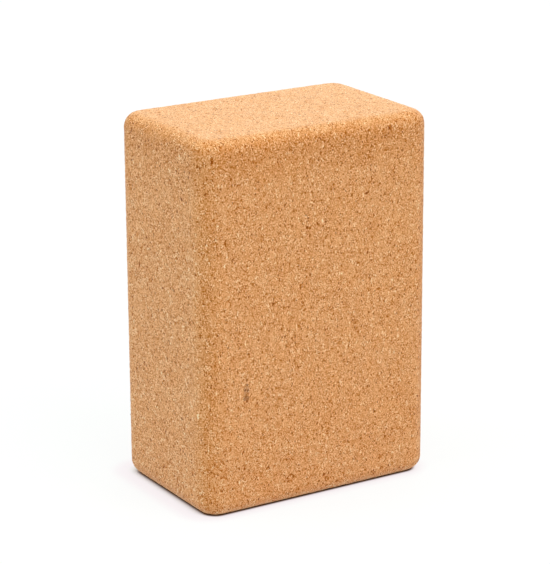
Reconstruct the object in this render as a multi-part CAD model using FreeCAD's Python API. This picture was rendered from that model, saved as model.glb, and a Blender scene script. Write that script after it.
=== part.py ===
"""Cork yoga block: one brick of pressed cork granulate, standing on its small end.

The brick is a single piece, cut from one pressed slab. Its four upright edges are rounded first. Then a
smaller rounding runs right round both end faces and rolls over the corners as it goes.

Frame, in millimetres: X across the wide face, Y through the thickness, Z up the height. The origin is
the middle of the end face that the block stands on.
"""

import FreeCAD, Part
import os

# Overall sizes of the brick
BLOCK_WIDTH = 154.0
BLOCK_DEPTH = 100.0
BLOCK_HEIGHT = 222.0

# Rounding that runs round both end faces
RIM_RADIUS = 8.5

# Corner radius of the flat that the rim rounding leaves on each end face
END_FLAT_CORNER_RADIUS = 4.5

# The rim turns inside the upright rounding, which is larger by the corner of the flat that is left
UPRIGHT_EDGE_RADIUS = RIM_RADIUS + END_FLAT_CORNER_RADIUS

QUARTER_TURN_DEG = 90.0
PARTS_FOLDER = "parts"


def rounded_rectangle(width, depth, corner_radius):
    """Closed outline on the XY plane, centred on the origin: straight sides and tangent corner arcs."""
    arc_centre_x = width / 2 - corner_radius
    arc_centre_y = depth / 2 - corner_radius
    corner_signs = [(1, 1), (-1, 1), (-1, -1), (1, -1)]
    arcs = []
    for quarter, (sign_x, sign_y) in enumerate(corner_signs):
        centre = FreeCAD.Vector(sign_x * arc_centre_x, sign_y * arc_centre_y, 0)
        up = FreeCAD.Vector(0, 0, 1)
        start_deg = quarter * QUARTER_TURN_DEG
        end_deg = start_deg + QUARTER_TURN_DEG
        arcs.append(Part.makeCircle(corner_radius, centre, up, start_deg, end_deg))
    outline = []
    for arc, next_arc in zip(arcs, arcs[1:] + arcs[:1]):
        side = Part.makeLine(arc.lastVertex().Point, next_arc.firstVertex().Point)
        outline += [arc, side]
    return Part.Wire(outline)


def end_rims(brick):
    """Edges round the lowest and the highest face."""
    faces = sorted(brick.Faces, key=lambda face: face.CenterOfMass.z)
    return faces[0].Edges + faces[-1].Edges


def cork_block():
    """The whole brick: a rounded outline raised to its height, with both end rims rolled over."""
    outline = rounded_rectangle(BLOCK_WIDTH, BLOCK_DEPTH, UPRIGHT_EDGE_RADIUS)
    brick = Part.Face(outline).extrude(FreeCAD.Vector(0, 0, BLOCK_HEIGHT))
    rolled = brick.makeFillet(RIM_RADIUS, end_rims(brick))
    return rolled.Solids[0]


def main():
    """Builds the brick, prints what it measures and writes it out."""
    os.makedirs(PARTS_FOLDER, exist_ok=True)
    block = cork_block()
    box = block.BoundBox
    print(f"cork_block {box.XLength:.2f} x {box.YLength:.2f} x {box.ZLength:.2f} mm")
    print(f"{block.ShapeType}, valid {block.isValid()}, {len(block.Faces)} faces, {block.Volume:.0f} mm3")
    block.exportStep(os.path.join(PARTS_FOLDER, "cork_block.step"))


main()
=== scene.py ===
"""Looks of a cork yoga block: a brick of pressed cork granulate on a white studio floor.

The brick is modelled at its real size, in metres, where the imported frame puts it: a box with rolled edges,
re-skinned to an even net of small faces, with the low relief of sanded granulate and open pores sunk into
it. One procedural finish colours it, and a floor, lamps and a camera show it at the photograph's angle.
"""

import logging
import math
import random
from dataclasses import dataclass, field
from enum import Enum
from typing import Any, Iterable, Mapping, Optional, Sequence, Union

import bpy
from mathutils import Matrix, Quaternion, Vector


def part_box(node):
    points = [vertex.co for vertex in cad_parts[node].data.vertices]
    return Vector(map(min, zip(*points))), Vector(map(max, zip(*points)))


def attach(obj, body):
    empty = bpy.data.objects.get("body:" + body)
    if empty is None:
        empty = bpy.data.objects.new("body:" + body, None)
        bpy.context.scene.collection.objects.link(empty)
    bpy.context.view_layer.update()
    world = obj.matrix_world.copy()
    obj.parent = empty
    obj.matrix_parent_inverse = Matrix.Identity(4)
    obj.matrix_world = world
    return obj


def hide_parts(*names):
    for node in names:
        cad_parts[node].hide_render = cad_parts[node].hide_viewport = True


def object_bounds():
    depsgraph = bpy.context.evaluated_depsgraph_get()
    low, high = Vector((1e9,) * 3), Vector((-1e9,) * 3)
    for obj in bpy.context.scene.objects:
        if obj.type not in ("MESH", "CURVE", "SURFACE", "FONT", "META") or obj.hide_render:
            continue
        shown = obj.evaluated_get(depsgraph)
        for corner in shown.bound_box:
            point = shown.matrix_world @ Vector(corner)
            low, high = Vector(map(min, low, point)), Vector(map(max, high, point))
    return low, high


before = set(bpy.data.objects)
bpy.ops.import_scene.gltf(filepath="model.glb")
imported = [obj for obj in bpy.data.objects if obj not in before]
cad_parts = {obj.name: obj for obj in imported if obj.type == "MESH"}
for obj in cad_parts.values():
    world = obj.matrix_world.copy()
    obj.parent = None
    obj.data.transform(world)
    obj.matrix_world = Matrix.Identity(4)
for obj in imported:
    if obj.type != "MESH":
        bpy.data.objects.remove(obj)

CAD_BOX: tuple[Vector, Vector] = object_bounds()
BODY: str = "root"

# Half of anything, the middle of a share that runs from 0 to 1
HALF: float = 0.5
# Share of a spot's radius that has its full strength
CORE: float = 0.7
# Half depth of a single bit in the cork's skin, in millimetres
DEEP: float = 3.0
# Where the wide front lies along Y, and the narrow left side along X, in millimetres
FRONT: float = -50.0
LEFT: float = -77.0
# Fourth channel of a colour that nothing shows through
OPAQUE: float = 1.0

log = logging.getLogger("cork_yoga_block")

Colour = tuple[float, float, float]
Number = Union["Value", float, int]
Socket = bpy.types.NodeSocket

WHITE: Colour = (1.0, 1.0, 1.0)


class Sum(Enum):
    """Sums that a Math node works out."""

    ADD = "ADD"
    SUBTRACT = "SUBTRACT"
    MULTIPLY = "MULTIPLY"
    DIVIDE = "DIVIDE"
    LARGER = "MAXIMUM"


class VectorSum(Enum):
    """Sums that a Vector Math node works out on places and colours."""

    ADD = "ADD"
    SUBTRACT = "SUBTRACT"
    MULTIPLY = "MULTIPLY"
    SCALE = "SCALE"
    SIZE_ONLY = "ABSOLUTE"
    LARGER = "MAXIMUM"
    LENGTH = "LENGTH"


class Cells(Enum):
    """What a cell pattern measures: distance to the nearest seed, or to the cell's own edge."""

    SEED = "F1"
    EDGE = "DISTANCE_TO_EDGE"


class Element(Enum):
    """Kinds of mesh elements that are picked to work on."""

    EDGE = "EDGE"
    FACE = "FACE"


class Value:
    """A number that varies over a surface, held by a socket, with Python's operators for Math nodes."""

    def __init__(self, bench: "Bench", socket: Socket) -> None:
        """Wraps a socket.

        Args:
            bench: The node bench that the socket is on.
            socket: An output socket with a single number.
        """
        self.bench = bench
        self.socket = socket

    def __add__(self, other: Number) -> "Value":
        """Adds another number."""
        return self.bench.work_out(Sum.ADD, self, other)

    def __radd__(self, other: Number) -> "Value":
        """Adds to a plain number."""
        return self.bench.work_out(Sum.ADD, other, self)

    def __sub__(self, other: Number) -> "Value":
        """Takes another number away."""
        return self.bench.work_out(Sum.SUBTRACT, self, other)

    def __rsub__(self, other: Number) -> "Value":
        """Takes this away from a plain number."""
        return self.bench.work_out(Sum.SUBTRACT, other, self)

    def __mul__(self, other: Number) -> "Value":
        """Multiplies by another number."""
        return self.bench.work_out(Sum.MULTIPLY, self, other)

    def __rmul__(self, other: Number) -> "Value":
        """Multiplies a plain number."""
        return self.bench.work_out(Sum.MULTIPLY, other, self)

    def __truediv__(self, other: Number) -> "Value":
        """Divides by another number."""
        return self.bench.work_out(Sum.DIVIDE, self, other)

    def __rtruediv__(self, other: Number) -> "Value":
        """Divides a plain number."""
        return self.bench.work_out(Sum.DIVIDE, other, self)

    def or_more(self, other: Number) -> "Value":
        """The larger of this and another number."""
        return self.bench.work_out(Sum.LARGER, self, other)

    def step(self, start: float, end: float) -> "Value":
        """Runs smoothly from 0 where this is at start to 1 where it is at end.

        Args:
            start: Value that gives 0. It may be larger than end.
            end: Value that gives 1.

        Returns:
            The smoothed step, between 0 and 1.
        """
        settings = {"interpolation_type": "SMOOTHSTEP"}
        made = self.bench.node("ShaderNodeMapRange", settings, Value=self, From_Min=start, From_Max=end)
        return self.bench.value(made, "Result")


class Bench:
    """The node tree of one material or world, and the one way of adding nodes to it."""

    def __init__(self, tree: bpy.types.NodeTree) -> None:
        """Clears a node tree to work on.

        Args:
            tree: The tree of a material or a world that uses nodes.
        """
        self.tree = tree
        self.tree.nodes.clear()

    def node(self, kind: str, settings: Optional[Mapping[str, Any]] = None, **inputs: Any) -> bpy.types.Node:
        """Adds a node, sets it up and feeds its sockets.

        Args:
            kind: The node's type, such as ShaderNodeTexNoise.
            settings: The node's own settings, set before its sockets. A ramp's stops come under "stops".
            inputs: A number, colour, Value or output socket for each socket, by the socket's name with
                underscores for spaces, or by its number after an underscore.

        Returns:
            The new node.
        """
        made = self.tree.nodes.new(kind)
        for name, setting in (settings or {}).items():
            if name == "stops":
                self._set_stops(made.color_ramp, setting)
            else:
                setattr(made, name, setting.value if isinstance(setting, Enum) else setting)
        for name, given in inputs.items():
            key = int(name[1:]) if name.startswith("_") else name.replace("_", " ")
            self._feed(made.inputs[key], given)
        return made

    def _set_stops(self, ramp: bpy.types.ColorRamp, stops: Sequence[tuple[float, Colour]]) -> None:
        """Gives a colour ramp its stops.

        Args:
            ramp: The ramp of a Color Ramp node, which starts with two stops.
            stops: Places from 0 to 1 in rising order, each with its colour.
        """
        for _ in stops[len(ramp.elements):]:
            ramp.elements.new(1.0)
        for element, (place, colour) in zip(ramp.elements, stops):
            element.position = place
            element.color = (*colour, OPAQUE)

    def _feed(self, socket: Socket, given: Any) -> None:
        """Links a socket to another, or sets its value.

        Args:
            socket: The input socket.
            given: A Value, an output socket, a number, a colour or a vector.
        """
        if isinstance(given, Value):
            given = given.socket
        if isinstance(given, Socket):
            self.tree.links.new(given, socket)
        elif socket.type == "RGBA":
            socket.default_value = (*given, OPAQUE)
        else:
            socket.default_value = given

    def value(self, node: bpy.types.Node, output: str) -> Value:
        """One output of a node as a number."""
        return Value(self, node.outputs[output])

    def work_out(self, operation: Sum, first: Number, second: Number) -> Value:
        """Adds a Math node for two numbers, at least one of which varies."""
        return self.value(self.node("ShaderNodeMath", {"operation": operation}, _0=first, _1=second), "Value")

    def vector(self, operation: VectorSum, first: Any, **others: Any) -> bpy.types.Node:
        """Adds a Vector Math node. The others are its further sockets, as in node."""
        return self.node("ShaderNodeVectorMath", {"operation": operation}, _0=first, **others)

    def length(self, place: Socket) -> Value:
        """How far a place is from the middle of its own axes."""
        return self.value(self.vector(VectorSum.LENGTH, place), "Value")

    def object_place(self, unit: Sequence[float], lean: float = 0.0) -> Socket:
        """Places on the piece itself, counted in units along three axes.

        Args:
            unit: The length of one unit along X, Y and Z, in metres.
            lean: How far the axes lean over, turned about X, in degrees.

        Returns:
            A vector socket.
        """
        place = self.node("ShaderNodeTexCoord").outputs["Object"]
        turn = (math.radians(lean), 0.0, 0.0)
        settings = {"vector_type": "TEXTURE"}
        made = self.node("ShaderNodeMapping", settings, Vector=place, Rotation=turn, Scale=unit)
        return made.outputs["Vector"]

    def attribute(self, name: str) -> Value:
        """A number that the mesh itself holds for each of its points."""
        return self.value(self.node("ShaderNodeAttribute", {"attribute_name": name}), "Fac")

    def moved(self, place: Socket, by: Socket) -> Socket:
        """A place moved by a vector."""
        return self.vector(VectorSum.ADD, place, _1=by).outputs["Vector"]

    def cells(self, place: Socket, size: float, measure: Cells = Cells.SEED) -> bpy.types.Node:
        """Adds an irregular cell pattern.

        Args:
            place: Where to read it.
            size: About how wide a cell is, in the unit of place.
            measure: What its Distance output measures.

        Returns:
            The Voronoi node.
        """
        return self.node("ShaderNodeTexVoronoi", {"feature": measure}, Vector=place, Scale=1.0 / size)

    def lots(self, cells: bpy.types.Node) -> tuple[Value, Value, Value]:
        """Draws three numbers by lot for each cell, whatever the place of its seed.

        Args:
            cells: The cell pattern.

        Returns:
            The numbers, each from 0 to 1.
        """
        seed = cells.outputs["Color"]
        drawn = self.node("ShaderNodeTexWhiteNoise", {"noise_dimensions": "3D"}, Vector=seed)
        return self.parts(drawn.outputs["Color"])

    def cloud(self, place: Socket, size: float, fineness: float = HALF) -> bpy.types.Node:
        """Adds a soft noise.

        Args:
            place: Where to read it.
            size: About how wide a blotch is, in the unit of place.
            fineness: How strong each finer octave is against the one before it, from 0 to 1.

        Returns:
            The noise node.
        """
        return self.node("ShaderNodeTexNoise", Vector=place, Scale=1.0 / size, Roughness=fineness)

    def blend(self, share: Number, first: Any, second: Any) -> Socket:
        """Adds a mix of two colours.

        Args:
            share: 0 for the first, 1 for the second.
            first: A colour, or the socket of one.
            second: A colour, or the socket of one.

        Returns:
            The socket of the mixed colour.
        """
        # Sockets of a Mix node share their names. Inputs 6 and 7 and output 2 are those for colours
        made = self.node("ShaderNodeMix", {"data_type": "RGBA"}, _0=share, _6=first, _7=second)
        return made.outputs[2]

    def parts(self, colour: Socket) -> tuple[Value, Value, Value]:
        """The three channels of a colour, each as a number."""
        made = self.node("ShaderNodeSeparateColor", Color=colour)
        return self.value(made, "Red"), self.value(made, "Green"), self.value(made, "Blue")


def ramp(value: float, start: float, end: float) -> float:
    """Runs evenly from 0 where value is at start to 1 where it is at end, and no further."""
    return min(max((value - start) / (end - start), 0.0), 1.0)


def linear_level(level: float) -> float:
    """Turns one channel of a screen colour into the share of light that a shader takes.

    Args:
        level: The channel, from 0 to 255.

    Returns:
        The linear share, from 0 to 1.
    """
    brightest, toe_end, toe_slope = 255.0, 0.04045, 12.92
    offset, power = 0.055, 2.4
    share = level / brightest
    return share / toe_slope if share <= toe_end else ((share + offset) / (1.0 + offset)) ** power


def linear(red: float, green: float, blue: float) -> Colour:
    """A screen colour, in 0 to 255, as the linear colour that a shader takes."""
    return linear_level(red), linear_level(green), linear_level(blue)


@dataclass(frozen=True)
class Layer:
    """One size of grain: how wide it is, in millimetres, and how far its tones reach, in screen levels."""

    size: float
    tone: float


@dataclass(frozen=True)
class Specks:
    """Small spots strewn through the cork. Sizes are in millimetres, tone is in screen levels.

    One spot may lie in each cell. share is how many cells have one, from 0 to 1. length is how many times
    longer a spot is along the grain than across it.
    """

    cell: float
    radius: float
    share: float
    tone: float
    length: float = 1.0

    def strewn(self, bench: Bench, place: Socket, rim: Value, rim_share: float) -> Value:
        """Lays the spots out.

        Args:
            bench: The material's node bench.
            place: Where to read them, in millimetres.
            rim: 1 on rolled edges, 0 on flats.
            rim_share: How many more cells have a spot on rolled edges.

        Returns:
            1 in the middle of the strongest spots, 0 between spots.
        """
        along = (1.0, 1.0, 1.0 / self.length)
        cells = bench.cells(bench.vector(VectorSum.MULTIPLY, place, _1=along).outputs["Vector"], self.cell)
        chance, strength, _ = bench.lots(cells)
        reach = self.radius / self.cell
        spot = bench.value(cells, "Distance").step(reach, reach * CORE)
        there = (chance - rim * rim_share).step(self.share, self.share * CORE)
        return spot * there * (strength * HALF + HALF)


@dataclass(frozen=True)
class Bit:
    """A single bit that stands out. Its place and half sizes are in millimetres.

    tone is in screen levels for bark and pale cork, and a share of the smudge's colour for the smudge.
    hollow is the share of the bit that is left open in the middle, as in a curl of bark.
    """

    name: str
    place: tuple[float, float, float]
    reach: tuple[float, float, float]
    tone: float
    hollow: float = 0.0

    def lie(self, bench: Bench, place: Socket) -> Value:
        """Lays the bit in its place.

        Args:
            bench: The material's node bench.
            place: Where to read it, in millimetres.

        Returns:
            1 on the bit, 0 off it.
        """
        settings = {"vector_type": "TEXTURE"}
        near = bench.node("ShaderNodeMapping", settings, Vector=place, Location=self.place, Scale=self.reach)
        away = bench.length(near.outputs["Vector"])
        spot = away.step(1.0, CORE)
        return spot * away.step(self.hollow * CORE, self.hollow) if self.hollow else spot


@dataclass(frozen=True)
class CorkFinish:
    """Sanded cork granulate: granules with dark seams, dust of many tones, pores, bark and pale flecks.

    Sizes are in millimetres. Tones are in screen levels out of 255, added to the middle colour. stretch is
    how long grains lie along X, Y and Z, and lean is how far they lean back. patchiness is how far the
    granules differ in contrast. A drift, sway_size wide, bends outlines by up to half of sway_reach. Hues
    run from cool to warm, as shares of the colour, and stops gives the colour at each tone.
    """

    name: str = "cork_granulate"
    millimetre: float = 0.001
    stretch: tuple[float, float, float] = (0.66, 1.05, 1.12)
    lean: float = -13.0
    middle_tone: float = 3.5
    granule: Layer = Layer(2.4, 6.0)
    patchiness: float = 0.48
    seam: Layer = Layer(0.17, -40.0)
    dust: Layer = Layer(0.74, 260.0)
    fineness: float = 0.45
    mottle: Layer = Layer(14.0, 11.0)
    sway_size: float = 1.5
    sway_reach: float = 1.0
    pores: Specks = Specks(1.9, 0.68, 0.136, -120.0)
    chips: Specks = Specks(4.9, 0.95, 0.28, -92.0)
    flecks: Specks = Specks(3.0, 0.7, 0.34, 45.0, 3.4)
    rim_share: float = 0.02
    # Where the mark is below 0, on the foot, rim_tone paints bounce light there.
    rim_tone: float = -8.0
    # Painted shade in the sunk pits, on top of the open pores' own darker colour
    pit_tone_and_shade: float = -45.0
    cool: Colour = (0.97, 1.0, 1.07)
    warm: Colour = (1.03, 1.0, 0.93)
    roughness: float = 0.5
    specular: float = 0.32
    specular_tint: Colour = (1.0, 0.7, 0.45)
    bump_height: float = 0.0002
    bump_strength: float = 0.4
    bits: tuple[Bit, ...] = (
        Bit("curl", (-20.7, FRONT, 15.4), (3.3, DEEP, 2.8), -32.0, 0.66),
        Bit("curl_top", (-20.9, FRONT, 17.4), (1.1, DEEP, 0.7), -55.0),
        Bit("curl_right", (-19.0, FRONT, 16.3), (0.8, DEEP, 0.7), -65.0),
        Bit("curl_left", (-23.1, FRONT, 16.0), (0.7, DEEP, 1.1), -55.0),
        Bit("curl_foot", (-22.8, FRONT, 13.7), (0.8, DEEP, 0.9), -70.0),
        Bit("curl_opening", (-18.6, FRONT, 13.9), (1.4, DEEP, 1.3), 26.0),
        Bit("chip", (3.7, FRONT, 9.8), (1.6, DEEP, 2.2), -32.0),
        Bit("chip_dot_over", (2.0, FRONT, 12.9), (1.2, DEEP, 0.8), -75.0),
        Bit("chip_dot_left", (-1.5, FRONT, 9.3), (0.8, DEEP, 0.8), -70.0),
        Bit("chip_dot_right", (11.3, FRONT, 6.8), (1.4, DEEP, 0.8), -75.0),
        Bit("chip_dot_under", (4.1, FRONT, 5.3), (1.2, DEEP, 0.7), -75.0),
        Bit("comma", (30.9, FRONT, 179.1), (0.9, DEEP, 0.8), -130.0),
        Bit("comma_tail", (32.1, FRONT, 179.6), (0.8, DEEP, 0.7), -95.0),
        Bit("pair_left", (-9.4, FRONT, 165.0), (0.9, DEEP, 1.2), -70.0),
        Bit("pair_right", (-7.4, FRONT, 164.6), (0.8, DEEP, 1.0), -70.0),
        Bit("point", (3.1, FRONT, 166.4), (0.9, DEEP, 0.7), -130.0),
        Bit("point_neighbour", (0.8, FRONT, 167.2), (0.7, DEEP, 1.5), 45.0),
        Bit("splinter", (-63.2, FRONT, 164.0), (0.9, DEEP, 2.3), -60.0),
        Bit("splinter_head", (-62.9, FRONT, 165.5), (0.8, DEEP, 0.8), -35.0),
        Bit("edge_chip", (-70.1, -48.5, 211.9), (0.9, DEEP, 2.2), -75.0),
        Bit("pale_chip", (-76.6, -40.0, 61.4), (DEEP, 0.9, 1.9), 65.0),
        Bit("side_dot_high", (LEFT, -25.9, 185.8), (DEEP, 1.4, 0.9), -115.0),
        Bit("side_dot_top", (LEFT, -20.7, 200.9), (DEEP, 1.2, 0.8), -80.0),
        Bit("side_dot_far", (LEFT, 15.7, 153.7), (DEEP, 1.2, 0.8), -90.0),
        Bit("side_dot_low", (LEFT, -1.9, 127.7), (DEEP, 1.1, 0.9), -85.0),
        Bit("side_splinter", (LEFT, 25.0, 135.1), (DEEP, 0.9, 1.8), -75.0),
    )
    smudge_colour: Colour = linear(128, 66, 34)
    smudge: tuple[Bit, ...] = (
        Bit("haze", (-50.4, FRONT, 74.8), (2.1, DEEP, 4.6), 0.3),
        Bit("streak", (-49.8, FRONT, 78.3), (1.1, DEEP, 0.7), 0.55),
        Bit("dot_left", (-51.3, FRONT, 75.3), (0.8, DEEP, 0.8), 0.6),
        Bit("dot_right", (-49.6, FRONT, 74.9), (0.8, DEEP, 0.8), 0.6),
        Bit("foot", (-50.6, FRONT, 70.2), (2.4, DEEP, 1.7), 0.58),
    )
    stops: tuple[tuple[int, Colour], ...] = (
        (-130, linear(138, 60, 0)),
        (-85, linear(156, 76, 0)),
        (-60, linear(174, 90, 0)),
        (-45, linear(187, 103, 16)),
        (-25, linear(205, 127, 60)),
        (0, linear(227, 158, 101)),
        (30, linear(252, 191, 141)),
        (70, linear(255, 231, 189)),
    )

    def material(self) -> bpy.types.Material:
        """Makes the finish.

        Returns:
            A material that reads Object coordinates and the mesh's own pore and rim attributes.
        """
        made = bpy.data.materials.new(self.name)
        made.use_nodes = True
        bench = Bench(made.node_tree)
        place = bench.object_place([self.millimetre * share for share in self.stretch], self.lean)
        sway = self._sway(bench, place)
        own_place = bench.object_place((self.millimetre, self.millimetre, self.millimetre))
        own_place = bench.moved(own_place, sway)
        mottle, hue, _ = bench.parts(bench.cloud(place, self.mottle.size).outputs["Color"])
        tone = self._granulate(bench, place, sway) + (mottle - HALF) * self.mottle.tone
        tone = tone + self._laid(bench, own_place, self.bits)

        lowest, highest = self.stops[0][0], self.stops[-1][0]
        reach = highest - lowest
        stops = [((level - lowest) / reach, colour) for level, colour in self.stops]
        lightness = (tone - lowest) / reach
        plain = bench.node("ShaderNodeValToRGB", {"stops": stops}, Fac=lightness)
        tint = bench.blend(hue, self.cool, self.warm)
        tinted = bench.vector(VectorSum.MULTIPLY, plain.outputs["Color"], _1=tint).outputs["Vector"]
        colour = bench.blend(self._laid(bench, own_place, self.smudge), tinted, self.smudge_colour)
        bump = bench.node(
            "ShaderNodeBump",
            Strength=self.bump_strength,
            Distance=self.bump_height,
            Height=lightness,
        )
        shader = bench.node(
            "ShaderNodeBsdfPrincipled",
            Base_Color=colour,
            Roughness=self.roughness,
            Normal=bump.outputs["Normal"],
            Specular_IOR_Level=self.specular,
            Specular_Tint=self.specular_tint,
        )
        bench.node("ShaderNodeOutputMaterial", Surface=shader.outputs["BSDF"])
        return made

    def _sway(self, bench: Bench, place: Socket) -> Socket:
        """Makes the drift that bends granules and bits out of shape.

        Args:
            bench: The material's node bench.
            place: Where to read it, in millimetres along the grain.

        Returns:
            A vector socket, in millimetres.
        """
        cloud = bench.cloud(place, self.sway_size).outputs["Color"]
        centred = bench.vector(VectorSum.SUBTRACT, cloud, _1=(HALF, HALF, HALF)).outputs["Vector"]
        return bench.vector(VectorSum.SCALE, centred, Scale=self.sway_reach).outputs["Vector"]

    def _laid(self, bench: Bench, place: Socket, bits: Sequence[Bit]) -> Value:
        """Adds up single bits, each where it lies.

        Args:
            bench: The material's node bench.
            place: Where to read them, in millimetres.
            bits: The bits.

        Returns:
            The tone of the bit that lies there, 0 between bits.
        """
        first, *others = [bit.lie(bench, place) * bit.tone for bit in bits]
        return sum(others, first)

    def _granulate(self, bench: Bench, place: Socket, sway: Socket) -> Value:
        """Adds up the tones of all that is strewn through the cork.

        Args:
            bench: The material's node bench.
            place: Where to read them, in millimetres along the grain.
            sway: The drift that bends their outlines.

        Returns:
            The tone, in screen levels above or below the middle colour.
        """
        warped = bench.moved(place, sway)
        rim = bench.attribute(CorkBlock.RIM)
        # Pits get the pores' own darker colour and painted shade; the rim mark darkens rolled edges and
        # paints light on the foot.
        tone = bench.attribute(CorkBlock.PORE) * self.pit_tone_and_shade + rim * self.rim_tone + self.middle_tone

        share, contrast, gap = bench.lots(bench.cells(warped, self.granule.size))
        cloud = bench.cloud(place, self.dust.size, self.fineness)
        dust = (bench.value(cloud, "Fac") - HALF) * self.dust.tone
        tone = tone + (share - HALF) * self.granule.tone
        tone = tone + dust * ((contrast - HALF) / HALF * self.patchiness + 1.0)
        edge = bench.value(bench.cells(warped, self.granule.size, Cells.EDGE), "Distance")
        tone = tone + edge.step(self.seam.size / self.granule.size, 0.0) * gap * self.seam.tone

        for specks in (self.pores, self.chips, self.flecks):
            tone = tone + specks.strewn(bench, warped, rim, self.rim_share) * specks.tone
        return tone


@dataclass(frozen=True)
class PitBatch:
    """Open pores of one depth, sunk into faces of the brick's skin.

    Sizes are in metres. rim is how far the sunk floor draws in from the face's edges.
    """

    count: int
    rim: float
    depth: float


@dataclass
class CorkBlock:
    """The brick: a box with rolled edges, an even skin, low relief and open pores. Sizes are in metres.

    Rolled edges are marked for the finish. The mark of an upright edge grows from edge_start to edge_full,
    measured in from the further of its two sides. That of the band under the top rim ends band_reach below
    the top, and that of the foot, which is below 0 and lightens the rolled foot with painted bounce light
    from the floor, ends foot_light_reach above the floor.
    """

    PORE = "pore"
    RIM = "rim"

    name: str = "cork_brick"
    node: str = "cork_block"
    slot: str = "cork"
    upright_radius: float = 0.013
    rim_radius: float = 0.0085
    edge_segments: int = 8
    round_profile: float = 0.5
    skin_face: float = 0.0014
    relief: float = 0.0001
    relief_size: float = 0.0026
    unevenness: float = 0.0001
    edge_start: float = 0.0091
    edge_full: float = 0.00455
    band_reach: float = 0.03
    band_strength: float = 1.35
    # Painted bounce light on the rolled foot: how high it reaches and how strong it is
    foot_light_reach: float = 0.005
    foot_light_strength: float = 3.2
    seed: int = 7
    pits: tuple[PitBatch, ...] = (
        PitBatch(3200, 0.00038, -0.00018),
        PitBatch(1200, 0.00032, -0.00026),
        PitBatch(300, 0.00026, -0.00034),
    )
    piece: bpy.types.Object = field(init=False)

    def build(self) -> bpy.types.Object:
        """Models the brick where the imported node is.

        Returns:
            The finished piece, at the origin, with its place in its mesh.
        """
        self._add_box()
        self._roll_edges()
        self._skin()
        self._mark_rims()
        self._raise_relief()
        self._sink_pits()
        bpy.ops.object.shade_smooth()
        return self.piece

    def dress(self, finish: CorkFinish) -> None:
        """Gives the brick its finish and says what it stands for.

        Args:
            finish: The cork finish.
        """
        self.piece.data.materials.append(finish.material())
        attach(self.piece, BODY)
        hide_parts(self.node)

    def _middle(self) -> Vector:
        """The middle of the node's box."""
        low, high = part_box(self.node)
        return (low + high) * HALF

    def _half_size(self) -> Vector:
        """Half of the node's box along each axis."""
        low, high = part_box(self.node)
        return (high - low) * HALF

    def _add_box(self) -> None:
        """Adds a plain box at the node's size and place."""
        bpy.ops.object.select_all(action="DESELECT")
        size = self._half_size() / HALF
        bpy.ops.mesh.primitive_cube_add(size=1.0, location=self._middle(), scale=size)
        self.piece = bpy.context.object
        self.piece.name = self.name
        self.piece.data.name = self.name
        bpy.ops.object.transform_apply(location=True, rotation=True, scale=True)

    def _roll_edges(self) -> None:
        """Rounds the four upright edges, then both rims round the end faces."""
        for upright, radius in ((True, self.upright_radius), (False, self.rim_radius)):
            self._deselect(Element.EDGE)
            corners = self.piece.data.vertices
            for edge in self.piece.data.edges:
                heights = [corners[corner].co.z - self._middle().z for corner in edge.vertices]
                edge.select = self._is_upright(heights) if upright else self._is_rim(heights)
            bpy.ops.object.mode_set(mode="EDIT")
            bpy.ops.mesh.bevel(
                offset=radius,
                segments=self.edge_segments,
                profile=self.round_profile,
                clamp_overlap=False,
            )
            bpy.ops.object.mode_set(mode="OBJECT")

    def _is_upright(self, heights: Sequence[float]) -> bool:
        """Whether an edge crosses the brick's middle height, from its ends' heights over that."""
        return min(heights) < 0.0 < max(heights)

    def _is_rim(self, heights: Sequence[float]) -> bool:
        """Whether an edge lies round an end face, from its ends' heights over the brick's middle."""
        reach = self._half_size().z - self.rim_radius * HALF
        return min(abs(height) for height in heights) > reach and not self._is_upright(heights)

    def _skin(self) -> None:
        """Lays an even net of small square faces over the brick."""
        skin = self.piece.modifiers.new("even_skin", "REMESH")
        skin.mode = "VOXEL"
        skin.voxel_size = self.skin_face
        bpy.ops.object.modifier_apply(modifier=skin.name)

    def _mark_rims(self) -> None:
        """Marks the rolled edges and the band below the top rim for the finish, and the foot below 0 for
        painted light.
        """
        middle, half = self._middle(), self._half_size()
        marks = self.piece.data.attributes.new(self.RIM, "FLOAT", "POINT")
        for corner, mark in zip(self.piece.data.vertices, marks.data):
            gap_x = half.x - abs(corner.co.x - middle.x)
            gap_y = half.y - abs(corner.co.y - middle.y)
            below_top = half.z - (corner.co.z - middle.z)
            upright = ramp(max(gap_x, gap_y), self.edge_start, self.edge_full)
            band = ramp(below_top, self.band_reach, self.rim_radius)
            band *= ramp(below_top, 0.0, self.rim_radius * HALF)
            side = ramp(min(gap_x, gap_y), self.rim_radius, 0.0)
            # The foot's mark is painted light: below 0, it makes the rolled foot lighter, as if lit by light
            # bounced up from the floor.
            height = half.z + (corner.co.z - middle.z)
            foot = ramp(height, self.foot_light_reach, self.foot_light_reach * HALF)
            mark.value = max(upright, band * side * self.band_strength) - foot * side * self.foot_light_strength

    def _raise_relief(self) -> None:
        """Raises the low relief of the granules, and shifts the net so that its faces aren't regular."""
        pattern = bpy.data.textures.new("granule_relief", "CLOUDS")
        pattern.noise_scale = self.relief_size
        relief = self.piece.modifiers.new("granule_relief", "DISPLACE")
        relief.texture = pattern
        relief.texture_coords = "LOCAL"
        relief.strength = self.relief
        bpy.ops.object.modifier_apply(modifier=relief.name)
        bpy.ops.object.mode_set(mode="EDIT")
        bpy.ops.mesh.select_all(action="SELECT")
        bpy.ops.transform.vertex_random(offset=self.unevenness, uniform=1.0, normal=0.0, seed=self.seed)
        bpy.ops.object.mode_set(mode="OBJECT")

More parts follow.
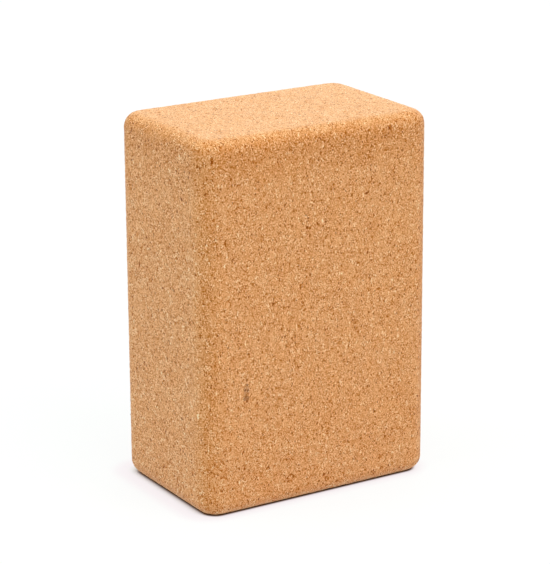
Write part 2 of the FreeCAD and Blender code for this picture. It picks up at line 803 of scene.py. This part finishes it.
    def _sink_pits(self) -> None:
        """Sinks open pores into faces drawn by lot, and marks them for the finish, which gives them their own
        darker colour and painted shade.
        """
        lot = random.Random(self.seed)
        self.piece.data.attributes.new(self.PORE, "FLOAT", "POINT")
        deepest = min(batch.depth for batch in self.pits)
        for batch in self.pits:
            self._deselect(Element.FACE)
            faces = self.piece.data.polygons
            for index in lot.sample(range(len(faces)), batch.count):
                faces[index].select = True
            bpy.ops.object.mode_set(mode="EDIT")
            bpy.ops.mesh.inset(thickness=batch.rim, depth=batch.depth, use_individual=True)
            bpy.ops.object.mode_set(mode="OBJECT")
            sunk = {corner for face in self.piece.data.polygons if face.select for corner in face.vertices}
            marks = self.piece.data.attributes[self.PORE].data
            for corner in sunk:
                marks[corner].value = batch.depth / deepest

    def _deselect(self, kind: Element) -> None:
        """Leaves nothing of the brick selected, ready for picking elements of one kind.

        Args:
            kind: What is picked next.
        """
        bpy.ops.object.mode_set(mode="EDIT")
        bpy.ops.mesh.select_mode(type=kind.value)
        bpy.ops.mesh.select_all(action="DESELECT")
        bpy.ops.object.mode_set(mode="OBJECT")


@dataclass
class StudioFloor:
    """A wide white floor that goes on past the picture and keeps the brick's shadow. Lengths in metres.

    white is how pale it is as it lights the brick, and shown_white how pale the camera sees it. lift is
    how far the camera sees it as plain paper that glows. A painted shadow lies under the brick's rolled foot:
    a strip in the colour shade as the camera sees it, and black for the light that the paper throws back,
    which runs out between shade_inner and shade_outer, measured outwards from the brick's outline when that
    is moved by shade_lean. The paper's own shadow runs out between shadow_inner and shadow_outer, from the
    outline moved by shadow_lean, and a faint painted tint of it, in the colour tint, glows round it out to
    shadow_tint_reach.
    """

    name: str = "studio_floor"
    width: float = 12.0
    white: float = 0.72
    shown_white: float = 0.95
    shade: Colour = (0.32, 0.15, 0.06)
    # Painted tint of the paper's shadow, glowing in the floor round the foot
    tint: Colour = (0.97, 0.9, 0.93)
    shadow_tint_reach: float = 0.011
    lift: float = 0.85
    foot_radius: float = 0.013
    shade_inner: float = -0.0052
    shade_outer: float = -0.0024
    shade_lean: tuple[float, float, float] = (0.0, 0.0003, 0.0)
    shadow_inner: float = -0.0095
    shadow_outer: float = -0.0005
    shadow_lean: tuple[float, float, float] = (-0.0025, 0.0045, 0.0)
    roughness: float = 0.9
    specular: float = 0.0
    glow: float = 1.0

    def build(self) -> bpy.types.Object:
        """Lays the floor at the height that the brick stands on.

        Returns:
            The floor.
        """
        low, _ = CAD_BOX
        bpy.ops.object.select_all(action="DESELECT")
        bpy.ops.mesh.primitive_plane_add(size=self.width, location=(0.0, 0.0, low.z))
        floor = bpy.context.object
        floor.name = self.name
        bpy.ops.object.transform_apply(location=True, rotation=True, scale=True)
        floor.data.materials.append(self._material())
        return floor

    def _material(self) -> bpy.types.Material:
        """Makes the floor's white paper, with a painted shadow where the brick stands on it and a painted
        tint round its shadow.

        Returns:
            The floor's material.
        """
        made = bpy.data.materials.new(self.name)
        made.use_nodes = True
        bench = Bench(made.node_tree)
        # clear is 0 on the painted shadow strip under the brick's foot.
        clear = self._distance_from_foot(bench, self.shade_lean).step(self.shade_inner, self.shade_outer)
        shadow = self._distance_from_foot(bench, self.shadow_lean)
        open_floor = shadow.step(self.shadow_inner, self.shadow_outer)
        path = bench.node("ShaderNodeLightPath")
        camera = bench.value(path, "Is Camera Ray")
        # Painted shadow under the foot: the shade colour for the camera, black for the light that the paper
        # throws back.
        level = (clear * self.white).or_more(camera * self.shown_white)
        tint = bench.blend(clear, self.shade, WHITE)
        colour = bench.vector(VectorSum.SCALE, tint, Scale=level)
        paper = bench.node(
            "ShaderNodeBsdfPrincipled",
            Base_Color=colour.outputs["Vector"],
            Roughness=self.roughness,
            Specular_IOR_Level=self.specular,
        )
        # Painted shadow tint: the glow takes the colour tint near the brick's foot, and is white beyond.
        shown = bench.blend(shadow.step(0.0, self.shadow_tint_reach), self.tint, WHITE)
        glow = bench.node("ShaderNodeEmission", Color=shown, Strength=self.glow)
        both = bench.node(
            "ShaderNodeMixShader",
            _0=seen_rays(bench, path) * clear * open_floor * self.lift,
            _1=paper.outputs["BSDF"],
            _2=glow.outputs["Emission"],
        )
        bench.node("ShaderNodeOutputMaterial", Surface=both.outputs["Shader"])
        return made

    def _distance_from_foot(self, bench: Bench, shift: Sequence[float]) -> Value:
        """How far a place on the floor is outside the brick's outline, in metres.

        Args:
            bench: The floor's node bench.
            shift: How far the outline is moved over the floor first, in metres.

        Returns:
            The distance, below 0 inside the outline.
        """
        low, high = CAD_BOX
        straight = (high - low) * HALF - Vector((self.foot_radius, self.foot_radius, 0.0))
        straight.z = 0.0
        place = bench.object_place((1.0, 1.0, 1.0))
        place = bench.vector(VectorSum.SUBTRACT, place, _1=shift).outputs["Vector"]
        place = bench.vector(VectorSum.SIZE_ONLY, place).outputs["Vector"]
        place = bench.vector(VectorSum.SUBTRACT, place, _1=straight).outputs["Vector"]
        place = bench.vector(VectorSum.LARGER, place, _1=Vector()).outputs["Vector"]
        return bench.length(place) - self.foot_radius


def seen_rays(bench: Bench, path: bpy.types.Node) -> Value:
    """1 for the rays that the picture shows: the camera's own, and those that gloss or glass sends on.

    Args:
        bench: The node bench of a material or world.
        path: Its Light Path node.

    Returns:
        1 on those rays, 0 on others.
    """
    seen = bench.value(path, "Is Camera Ray").or_more(bench.value(path, "Is Glossy Ray"))
    return seen.or_more(bench.value(path, "Is Transmission Ray"))


@dataclass(frozen=True)
class SoftLamp:
    """A large soft lamp, far off: where it shines from, its strength, and how wide it looks, in degrees."""

    name: str
    azimuth: float
    elevation: float
    strength: float
    width: float
    colour: Colour = WHITE


@dataclass
class StudioLight:
    """The studio's lamps and the white room round them.

    room is how strongly the room lights the brick, in room_colour, and backdrop how bright it is to see.
    """

    lamps: tuple[SoftLamp, ...] = (
        SoftLamp("overhead", 0.0, 89.0, 1.73, 60.0, (0.94, 1.1, 0.96)),
        SoftLamp("left_fill", -105.0, 25.0, 0.79, 50.0, (0.89, 1.02, 1.09)),
        SoftLamp("front_key", 20.0, 40.0, 1.05, 50.0, (1.07, 0.99, 0.95)),
        SoftLamp("back_glow", 135.0, 10.0, 0.61, 50.0, (1.01, 1.08, 0.91)),
    )
    room: float = 0.3
    room_colour: Colour = (0.9, 1.01, 1.09)
    backdrop: float = 1.0

    def build(self) -> None:
        """Hangs the lamps and lights the room."""
        for lamp in self.lamps:
            back = direction(lamp.azimuth, lamp.elevation)
            turn = back.to_track_quat("Z", "Y").to_euler()
            bpy.ops.object.light_add(type="SUN", location=back, rotation=turn)
            made = bpy.context.object
            made.name = lamp.name
            made.data.energy = lamp.strength
            made.data.angle = math.radians(lamp.width)
            made.data.color = lamp.colour
            log.info("lamp %s at %.2f", lamp.name, lamp.strength)
        world = bpy.data.worlds.new("white_room")
        bpy.context.scene.world = world
        world.use_nodes = True
        bench = Bench(world.node_tree)
        seen = seen_rays(bench, bench.node("ShaderNodeLightPath"))
        lit = bench.node("ShaderNodeBackground", Color=self.room_colour, Strength=self.room)
        shown = bench.node("ShaderNodeBackground", Color=WHITE, Strength=self.backdrop)
        both = bench.node(
            "ShaderNodeMixShader",
            _0=seen,
            _1=lit.outputs["Background"],
            _2=shown.outputs["Background"],
        )
        bench.node("ShaderNodeOutputWorld", Surface=both.outputs["Shader"])


def direction(azimuth: float, elevation: float) -> Vector:
    """The way towards a point round the brick.

    Args:
        azimuth: Degrees round from the wide front, positive to the right.
        elevation: Degrees above the floor.

    Returns:
        A vector of length 1 from the brick towards that point.
    """
    turn, rise = math.radians(azimuth), math.radians(elevation)
    return Vector((math.sin(turn) * math.cos(rise), -math.cos(turn) * math.cos(rise), math.sin(rise)))


@dataclass
class PhotoCamera:
    """The camera of the photograph, fitted to the brick's outline. Lengths in metres, angles in degrees."""

    name: str = "photo_camera"
    azimuth: float = -31.625
    elevation: float = 17.196
    roll: float = -0.330
    distance: float = 1.4676
    right_shift: float = 0.00018
    up_shift: float = -0.00675
    focal_pixels: float = 2486.5
    picture_height: float = 564.0
    sensor: float = 36.0

    def build(self) -> bpy.types.Object:
        """Sets the camera up and makes it the scene's own.

        Returns:
            The camera.
        """
        low, high = CAD_BOX
        back = direction(self.azimuth, self.elevation)
        right = Vector((0.0, 0.0, 1.0)).cross(back).normalized()
        up = back.cross(right)
        lean = Quaternion(back, math.radians(self.roll))
        right, up = lean @ right, lean @ up
        place = (low + high) * HALF + back * self.distance - right * self.right_shift - up * self.up_shift
        turn = Matrix((right, up, back)).transposed().to_euler()
        bpy.ops.object.camera_add(location=place, rotation=turn)
        camera = bpy.context.object
        camera.name = self.name
        camera.data.sensor_width = self.sensor
        camera.data.lens = self.focal_pixels * self.sensor / self.picture_height
        bpy.context.scene.camera = camera
        return camera


def main() -> None:
    """Builds the brick, dresses it and sets the studio round it."""
    logging.basicConfig(level=logging.INFO, format="%(name)s: %(message)s")
    bpy.context.scene.view_settings.view_transform = "Standard"
    block = CorkBlock()
    block.build()
    block.dress(CorkFinish())
    log.info("%s: %d faces", block.name, len(block.piece.data.polygons))
    floor = StudioFloor().build()
    log.info("%s laid", floor.name)
    StudioLight().build()
    camera = PhotoCamera().build()
    log.info("%s set, lens %.1f mm", camera.name, camera.data.lens)


if __name__ == "__main__":
    main()
